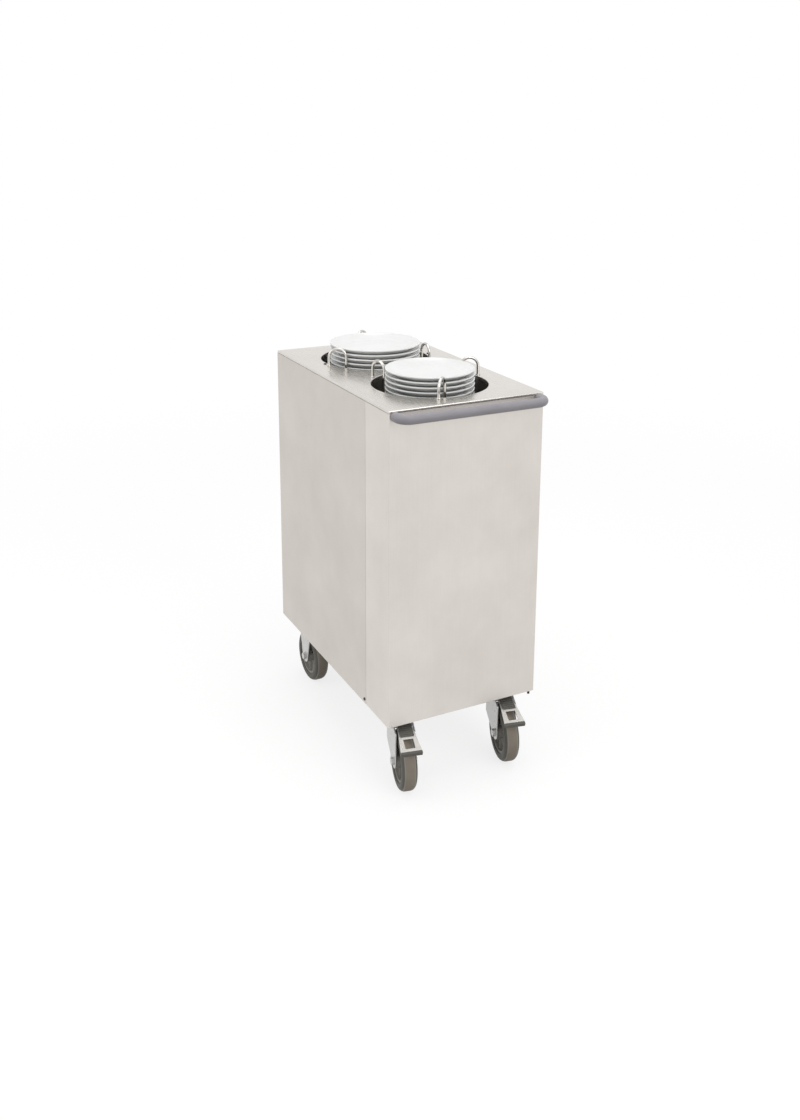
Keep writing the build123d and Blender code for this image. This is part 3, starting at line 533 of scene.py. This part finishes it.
# ---- plates: an outline turned round the well's middle
plates = {
    "rimThickness": 0.0046,
    "footShare": 0.59,  # foot ring's radius to the plate's
    "floorTop": 0.01155,
    "floorUnderside": 0.00455,
    "footWidth": 0.0062,
    "footBead": 0.0018,  # radius of the foot ring's lower edge
    "footBeadInset": 0.003,
    "wallFromFoot": (0.004, 0.0015),  # where the wall leaves the floor, above and below
    "pitch": 0.0116,
    "inStack": 15,
    "roundSteps": 144,
}


def plateOutline(radius, rise, plan):
    # along the axis and out from it: flat floor, a wall that curves up to a half-round rim, underside,
    # foot ring; the wall is an arc that leaves the floor level: curve = (run^2 + climb^2) / (2 climb)
    foot = radius * plan["footShare"]
    rimMiddle = radius - plan["rimThickness"] / 2

    def sweepUp(startRadius, startHeight, endRadius, endHeight, count):
        run, climb = endRadius - startRadius, endHeight - startHeight
        curve = (run * run + climb * climb) / (2 * climb)
        angle = np.linspace(0, math.asin(run / curve), count)
        height = startHeight + curve * (1 - np.cos(angle))
        return np.stack([height, startRadius + curve * np.sin(angle)], axis=1)

    top = np.array([[plan["floorTop"], 0], [plan["floorTop"], foot * 0.5]])
    above, below = plan["wallFromFoot"]
    wall = sweepUp(foot + above, plan["floorTop"], rimMiddle, rise, 16)
    rim = arc((rise - plan["rimThickness"] / 2, rimMiddle), plan["rimThickness"] / 2, 0, 180, 11)[1:]
    under = sweepUp(foot + below, plan["floorUnderside"], rimMiddle, rise - plan["rimThickness"], 14)
    under = under[::-1][1:]
    ring = arc((plan["footBead"], foot - plan["footBeadInset"]), plan["footBead"], 75, 285, 9)
    floor = np.array([[plan["floorUnderside"], foot - plan["footWidth"]], [plan["floorUnderside"], 0]])
    return np.concatenate([top, wall, rim, under, ring, floor])


def makePlates(plan):
    for well in wellNames:
        low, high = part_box(f"{well}_top_plate")
        radius, rise = (high.x - low.x) / 2, high.z - low.z
        middle = ((low.x + high.x) / 2, (low.y + high.y) / 2)
        outline = plateOutline(radius, rise, plan)
        top = turned(outline, (*middle, low.z), (0, 0, 1), plan["roundSteps"])
        node = f"{well}_top_plate"
        surfaces(f"{well}TopPlate", [(top, True, True)], finishes["glaze"], node, (node,))
        below = turned(outline, (*middle, low.z), (0, 0, 1), plan["roundSteps"] // 2)
        drop = np.array([0, 0, plan["pitch"]])
        stack = [(below - drop * n, True, True) for n in range(1, plan["inStack"] + 1)]
        surfaces(f"{well}PlatePile", stack, finishes["glaze"], f"{well}_carrier", (f"{well}_plate_stack",))


makePlates(plates)
print("plates turned")


# ---- wire guides: bright wire bent to a narrow arch, with a collar above and below the deck
guides = {
    "wire": 0.0035,
    "span": 0.043,
    "circle": 0.146,  # outer legs from the well's middle
    "headings": {"front": -20.0, "rear": -76.0},
    "skews": {"front": 26.24, "rear": 44.34},
    "archBelowTop": 0.0215 + 0.0035,  # half the span and half the wire
    "innerDepth": 0.110,  # reach of the inner leg below the deck
    "collarAbove": 0.0002,  # clear of the deck
    "collarRadius": 0.0056,
    "collarHeight": 0.002,
    "collarEdge": 0.0004,
    "collarBite": 0.0002,  # how far a collar reaches into the wire
    "legSteps": 24,
    "bowSteps": 33,
    "sides": 28,
    "collarSides": 40,
    "tipDegrees": (0, 15, 30, 45, 60, 75),  # the half-round ends of the wire
}


def makeGuides(plan):
    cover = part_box("top_deck")[1].z
    for well in wellNames:
        low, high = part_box(f"{well}_top_plate")
        middle = np.array([(low.x + high.x) / 2, 0.0])
        for number in (1, 2, 3):
            node = f"{well}_guide_{number}"
            bottom, top = (corner.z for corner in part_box(node))
            heading = math.radians(plan["headings"][well] + 120 * (number - 1))
            foot = middle + plan["circle"] * np.array([math.cos(heading), math.sin(heading)])
            turn = heading + math.pi - math.radians(plan["skews"][well])
            inward = np.array([math.cos(turn), math.sin(turn), 0])
            spring = top - plan["archBelowTop"]
            bow = arc((plan["span"] / 2, spring), plan["span"] / 2, 180, 0, plan["bowSteps"])
            innerEnd = cover - plan["innerDepth"]
            steps = plan["legSteps"]
            outer = np.stack([np.zeros(steps), np.linspace(bottom, spring, steps)], axis=1)[:-1]
            inner = np.stack([np.full(steps, plan["span"]), np.linspace(spring, innerEnd, steps)], axis=1)[1:]
            flat = np.concatenate([outer, bow, inner])
            tip = plan["wire"] * (1 - np.cos(np.radians(plan["tipDegrees"][1:])))
            flat = np.concatenate([flat[:1], flat[:1] + np.stack([0 * tip, tip], 1), flat[1:]])
            flat = np.concatenate([flat[:-1], flat[-1:] + np.stack([0 * tip, tip], 1)[::-1], flat[-1:]])
            radii = np.full(len(flat), plan["wire"])
            dome = plan["wire"] * np.sin(np.radians(plan["tipDegrees"]))
            dome[0] = closedEnd
            radii[: len(dome)], radii[-len(dome) :] = dome, dome[::-1]
            path = np.array([*foot, 0.0]) + flat[:, :1] * inward + flat[:, 1:] * np.array([0, 0, 1.0])
            upright = np.cross(inward, [0, 0, 1.0])
            grids = [(carried(path, radii, upright, plan["sides"]), False, True)]
            thick, edge = plan["collarHeight"], plan["collarEdge"]
            inside, outside = plan["wire"] - plan["collarBite"], plan["collarRadius"]
            lower = [(0, inside), (0, outside - edge), (edge, outside)]
            upper = [(thick - edge, outside), (thick, outside - edge), (thick, inside)]
            for height in (cover + plan["collarAbove"], bottom):
                collar = turned(np.array(lower + upper), (*foot, height), (0, 0, 1), plan["collarSides"])
                grids.append((collar, True, True))
            surfaces(f"{well}WireGuide{number}", grids, finishes["guide"], node, (node,))


makeGuides(guides)
print("wire guides bent")


# ---- push handle: vinyl sleeve on a bent tube
handle = {
    "radius": 0.011,
    "bore": 0.0085,
    "bend": 0.025,
    "legInset": 0.0135,
    "sides": 56,
    "endRound": 0.0012,  # the sleeve's cut ends
    "rings": 46,  # faint rings left by the mould
    "ringDepth": 0.00012,
}


def makeGrip(plan):
    low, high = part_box("push_handle_grip")
    level = (low.z + high.z) / 2
    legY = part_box("top_deck")[1].y - plan["legInset"]
    barX = high.x - plan["radius"]
    corners = [(low.x, -legY, level), (barX, -legY, level), (barX, legY, level), (low.x, legY, level)]
    line = evenly(roundedLine(corners, plan["bend"], 24), 0.0025)
    count = len(line)
    outer = np.full(count, plan["radius"])
    outer[[0, -1]] -= plan["endRound"]
    share = np.linspace(0, 1, count)
    outer -= plan["ringDepth"] * np.sin(share * math.pi * plan["rings"]) ** 8
    outside = carried(line, outer, (0, 0, 1.0), plan["sides"])
    inside = carried(line[::-1], np.full(count, plan["bore"]), (0, 0, 1.0), plan["sides"])[:, ::-1]
    inside = np.roll(inside, 1 - plan["sides"] // 2, axis=1)
    shell = np.concatenate([outside, inside])
    surfaces("handleSleeve", [(shell, True, True)], finishes["grip"], "cart", ("push_handle_grip",), 50.0)


makeGrip(handle)
print("handle sleeve made")


# ---- carrier springs: a coil between each arm and its tab
springs = {
    "coilRadius": 0.0062,
    "wire": 0.0008,
    "circle": 0.1542,
    "turns": 26,
    "stepsPerTurn": 20,
    "wireSides": 8,
    "crowding": 0.5,  # how much closer the turns lie at both ends
    "directions": (60.0, 180.0, 300.0),
}


def makeSprings(plan):
    for well in wellNames:
        low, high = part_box(f"{well}_springs")
        plateLow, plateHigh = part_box(f"{well}_top_plate")
        middle = np.array([(plateLow.x + plateHigh.x) / 2, 0.0])
        grids = []
        for direction in plan["directions"]:
            heading = math.radians(guides["headings"][well] + direction)
            foot = middle + plan["circle"] * np.array([math.cos(heading), math.sin(heading)])
            share = np.linspace(0, 1, plan["turns"] * plan["stepsPerTurn"] + 1)
            rise = share - plan["crowding"] * np.sin(2 * math.pi * share) / (2 * math.pi)
            angle = 2 * math.pi * plan["turns"] * share
            bottom, top = low.z + plan["wire"], high.z - plan["wire"]
            line = np.stack(
                [
                    foot[0] + plan["coilRadius"] * np.cos(angle),
                    foot[1] + plan["coilRadius"] * np.sin(angle),
                    bottom + (top - bottom) * rise,
                ],
                axis=1,
            )
            tangent = np.gradient(line, axis=0)
            tangent /= np.linalg.norm(tangent, axis=1)[:, None]
            out = np.stack([np.cos(angle), np.sin(angle), 0 * angle], axis=1)
            third = np.cross(tangent, out)
            turn = np.linspace(0, 2 * math.pi, plan["wireSides"], endpoint=False)
            thick = np.full(len(line), plan["wire"])
            thick[[0, -1]] = closedEnd
            ring = np.cos(turn)[:, None] * out[:, None, :] + np.sin(turn)[:, None] * third[:, None, :]
            grids.append((line[:, None, :] + thick[:, None, None] * ring, False, True))
        coil = surfaces(f"{well}Coils", grids, finishes["spring"], None, (f"{well}_springs",))
        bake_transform(coil)


makeSprings(springs)
print("springs coiled")


# ---- castors: tyre and wheel turned round the axle
wheels = {
    # the way a swivel castor trails; a fixed castor's wheel stands under its plate, along X
    "heading": -13.0,
    "trail": 0.041,
    "axleHeight": 0.070,
    "tyreHalf": 0.0185,
    "tyreCrown": 0.012,
    "tyreInner": 0.050,
    "tyreOuter": 0.06998,
    "highlightFrom": 54.0,  # painted highlight: a pale band on the shoulder, degrees up from the side
    "highlightTo": 66.0,
    "groove": 0.0003,
    "roundSteps": 160,
    "bore": 0.00505,
    "hub": 0.018,
    "hubHalf": 0.020,
    "webHalf": 0.0045,
    "rimInner": 0.045,
    "rimHalf": 0.015,
    "ribs": 6,
    "ribHeight": 0.0062,
    "ribHalfWidth": 0.0022,
}


def tyreOutline(plan):
    # half of the section: bead seat, side wall, then the shoulder, where a pale band of painted highlight
    # stands between two grooves
    half, crown = plan["tyreHalf"], plan["tyreCrown"]
    wall = half - 0.0006
    side = np.array(
        [
            (wall - 0.0020, plan["tyreInner"]),
            (wall - 0.0003, plan["tyreInner"] + 0.0008),
            (wall, plan["tyreInner"] + 0.0022),
            (wall - 0.0004, plan["tyreInner"] + 0.0040),
            (half, plan["tyreOuter"] - crown - 0.0002),
        ]
    )
    low, high, groove = plan["highlightFrom"], plan["highlightTo"], plan["groove"]
    plain = [(degrees, 0) for degrees in (3, 12, 22, 32, 42)]
    before = [(low - 4, groove), (low - 1.5, groove), (low, groove)]
    # the pale band of painted highlight, between two real grooves
    line = [(low + 1.5, 0), (high - 1.5, 0)]
    after = [(high, groove), (high + 1.5, groove), (78, 0), (90, 0)]
    degrees, sunk = np.array(plain + before + line + after).T
    angles, radius = np.radians(degrees), crown - sunk
    across, out = half - crown + radius * np.cos(angles), plan["tyreOuter"] - crown + radius * np.sin(angles)
    shoulder = np.stack([across, out], axis=1)
    bands = [0] * 5 + [0] * 7 + [1] * 4 + [2] * 3  # side, painted highlight on the shoulder, tread
    return np.concatenate([side, shoulder]), bands


def makeTyres(plan):
    half, bands = tyreOutline(plan)
    profile = np.concatenate([half, half[::-1] * np.array([-1, 1])])
    allBands = bands + bands[::-1][1:] + [0]
    slots = [finishes["tyreSide"], finishes["tyreShoulderHighlight"], finishes["tyre"]]
    for castor in castorNames:
        swivels = castor in swivelCastors
        heading = math.radians(plan["heading"] if swivels else 0.0)
        trailing = np.array([math.cos(heading), math.sin(heading), 0])
        axle = np.array([-math.sin(heading), math.cos(heading), 0])
        low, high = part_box(f"{castor}_plate")
        stem = np.array([(low.x + high.x) / 2, (low.y + high.y) / 2, plan["axleHeight"]])
        centre = stem + (plan["trail"] * trailing if swivels else 0)
        ring = turned(profile, centre, axle, plan["roundSteps"])
        wheel, replaced = f"{castor}_wheel", (f"{castor}_tyre",)
        surfaces(f"{castor}Tyre", [(ring, True, True)], slots, wheel, replaced, 30.0, allBands)
        makeWheelCentre(castor, centre, axle, plan)


def makeWheelCentre(castor, centre, axle, plan):
    # hub, then the thin web with the spokes' fillets, then the band under the tyre
    web, hub, hubHalf = plan["webHalf"], plan["hub"], plan["hubHalf"]
    rimInner, rimHalf = plan["rimInner"], plan["rimHalf"]
    edge = 0.0008
    half = np.concatenate(
        [
            [(hubHalf, plan["bore"]), (hubHalf, hub - 0.003), (hubHalf - edge, hub - 0.0014)],
            [(web + 0.003, hub), (web + 0.0008, hub + 0.0008), (web, hub + 0.003)],
            np.stack([np.full(7, web), np.linspace(hub + 0.006, rimInner - 0.006, 7)], axis=1),
            [(web, rimInner - 0.003), (web + 0.0008, rimInner - 0.0008), (web + 0.003, rimInner)],
            [(rimHalf - edge, rimInner), (rimHalf, rimInner + edge), (rimHalf, plan["tyreInner"])],
        ]
    )
    profile = np.concatenate([half, half[::-1] * np.array([-1, 1])])

    def ribbed(along, radius, angle):
        # how far the web stands out: full on a rib's line, nothing beyond its half width
        spacing = 2 * math.pi / plan["ribs"]
        offset = (angle + spacing / 2) % spacing - spacing / 2
        away = np.abs(offset) * radius / plan["ribHalfWidth"]
        onRib = np.clip(1.6 - away, 0, 1)
        onWeb = (np.abs(along) < web + 0.001) & (radius > hub + 0.0005) & (radius < rimInner - 0.0005)
        return np.sign(along) * onWeb * onRib * plan["ribHeight"]

    disc = turned(profile, centre, axle, 180, ribbed)
    wheel, replaced = f"{castor}_wheel", (f"{castor}_rim",)
    surfaces(f"{castor}WheelCentre", [(disc, True, True)], finishes["nylon"], wheel, replaced, 40.0)


makeTyres(wheels)
print("wheels turned")


# ---- brake pedals: ribbed rubber on the tread plate and over its lip
pads = {
    "start": (0.029, 0.163),
    "end": (0.115, 0.136),
    "length": 0.048,
    "width": 0.032,
    "thickness": 0.0025,
    "ribs": 8,
    "lipOut": 0.007,
    "lipDepth": 0.009,
    "lipUnder": 0.006,
    "sheet": 0.0025,
    "lipWidth": 0.050,
    "edgeRound": 0.0004,
}


def extruded(name, blocks, finish, body, replaced, edgeRound):
    # each block is an outline of points (n, 3), the way across, and the two distances along it
    # at which a flat face closes the block
    points, faces = [], []
    for outline, across, first, last in blocks:
        count, start = len(outline), sum(len(p) for p in points)
        points += [outline + across * first, outline + across * last]
        here = np.arange(count)
        onward = (here + 1) % count
        sides = np.stack([here, onward, onward + count, here + count], axis=1) + start
        faces += sides.tolist() + [(here + start).tolist(), (here[::-1] + start + count).tolist()]
    mesh = bpy.data.meshes.new(name)
    mesh.from_pydata(np.concatenate(points).tolist(), [], faces)
    piece = finishPiece(name, mesh, finish, body, replaced, 30.0)
    soft = piece.modifiers.new("edgeRound", "BEVEL")
    soft.width, soft.segments, soft.limit_method = edgeRound, 2, "ANGLE"
    soft.angle_limit, soft.use_clamp_overlap, soft.harden_normals = math.radians(30), False, True
    return piece


def makePads(plan):
    heading = math.radians(wheels["heading"])
    trailing = np.array([math.cos(heading), math.sin(heading), 0])
    across = np.array([-math.sin(heading), math.cos(heading), 0])
    run = np.array(plan["end"]) - np.array(plan["start"])
    length = float(np.hypot(*run))
    slope = run / length
    ahead = slope[0] * trailing + np.array([0, 0, slope[1]])
    outward = -slope[1] * trailing + np.array([0, 0, slope[0]])
    # the top of the upper pad rises and falls once for each rib
    along = np.linspace(0, plan["length"], plan["ribs"] * 8 + 1)
    wave = np.clip(np.cos(along / plan["length"] * 2 * math.pi * plan["ribs"]) * -1.6, -0.5, 1)
    top = plan["thickness"] - 0.0006 + 0.0006 * (wave + 0.5) / 1.5
    ribbedTop = np.stack([along, top], axis=1)
    upper = np.concatenate([[(0, 0)], ribbedTop, [(plan["length"], 0)]])
    out, under, deep, sheet = plan["lipOut"], plan["lipUnder"], plan["lipDepth"], plan["sheet"]
    lip = np.array(
        [
            (length, 0),
            (length + out, 0),
            (length + out, -deep),
            (length - under, -deep),
            (length - under, -sheet),
            (length, -sheet),
        ]
    )
    for castor in swivelCastors:
        low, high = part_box(f"{castor}_plate")
        stem = np.array([(low.x + high.x) / 2, (low.y + high.y) / 2, 0])
        root = stem + plan["start"][0] * trailing + np.array([0, 0, plan["start"][1]])
        placed = [root + o[:, :1] * ahead + o[:, 1:] * outward for o in (upper, lip)]
        blocks = [
            (placed[0], across, -plan["width"] / 2, plan["width"] / 2),
            (placed[1], across, -plan["lipWidth"] / 2, plan["lipWidth"] / 2),
        ]
        body, replaced = f"{castor}_brake", (f"{castor}_pedal_pads",)
        extruded(f"{castor}PedalRubber", blocks, finishes["pedalRubber"], body, replaced, plan["edgeRound"])


makePads(pads)
print("pedal rubbers made")


# ---- sheet parts, brackets and fasteners: the CAD solids with a small round on each crisp edge
rounds = {
    # finish, CAD node, body, width of the round
    "sheetParts": (
        ("deck", "top_deck", "cart", 0.0),  # its edges are round in the CAD
        ("endPanel", "handle_end_cover", "cart", 0.0003),
        ("sidePanel", "left_side_panel", "cart", 0.0003),
        ("sidePanel", "right_side_panel", "cart", 0.0003),
        ("endPanel", "rear_end_panel", "cart", 0.0003),
        ("frame", "base_tray", "cart", 0.0003),
        ("frame", "corner_posts", "cart", 0.0003),
        ("well", "front_well_tube", "cart", 0.0002),
        ("well", "rear_well_tube", "cart", 0.0002),
        ("frame", "front_carrier", "front_carrier", 0.0004),
        ("frame", "rear_carrier", "rear_carrier", 0.0004),
        ("zinc", "kingpins", "cart", 0.0005),
        ("zinc", "castor_bolts", "cart", 0.0004),
        ("darkSteel", "corner_peg", "cart", 0.0004),
    ),
    "castorParts": (("plate", 0.0006), ("fork", 0.0009), ("axle", 0.0006)),
    "pedal": 0.0006,
}


def softenParts(plan):
    for finish, node, body, width in plan["sheetParts"]:
        first, *others = node.split("_")
        name = first + "".join(word.title() for word in others) + "Sheet"
        softened(name, [node], finishes[finish], body, width)
    for castor in castorNames:
        for part, width in plan["castorParts"]:
            body = "cart" if part == "plate" or castor in fixedCastors else f"{castor}_fork"
            name = f"{castor}{part.title()}Steel"
            softened(name, [f"{castor}_{part}"], finishes["zinc"], body, width)
    for castor in swivelCastors:
        name, nodes = f"{castor}PedalSteel", [f"{castor}_brake_pedal"]
        softened(name, nodes, finishes["zinc"], f"{castor}_brake", plan["pedal"])


softenParts(rounds)
print("crisp edges rounded")
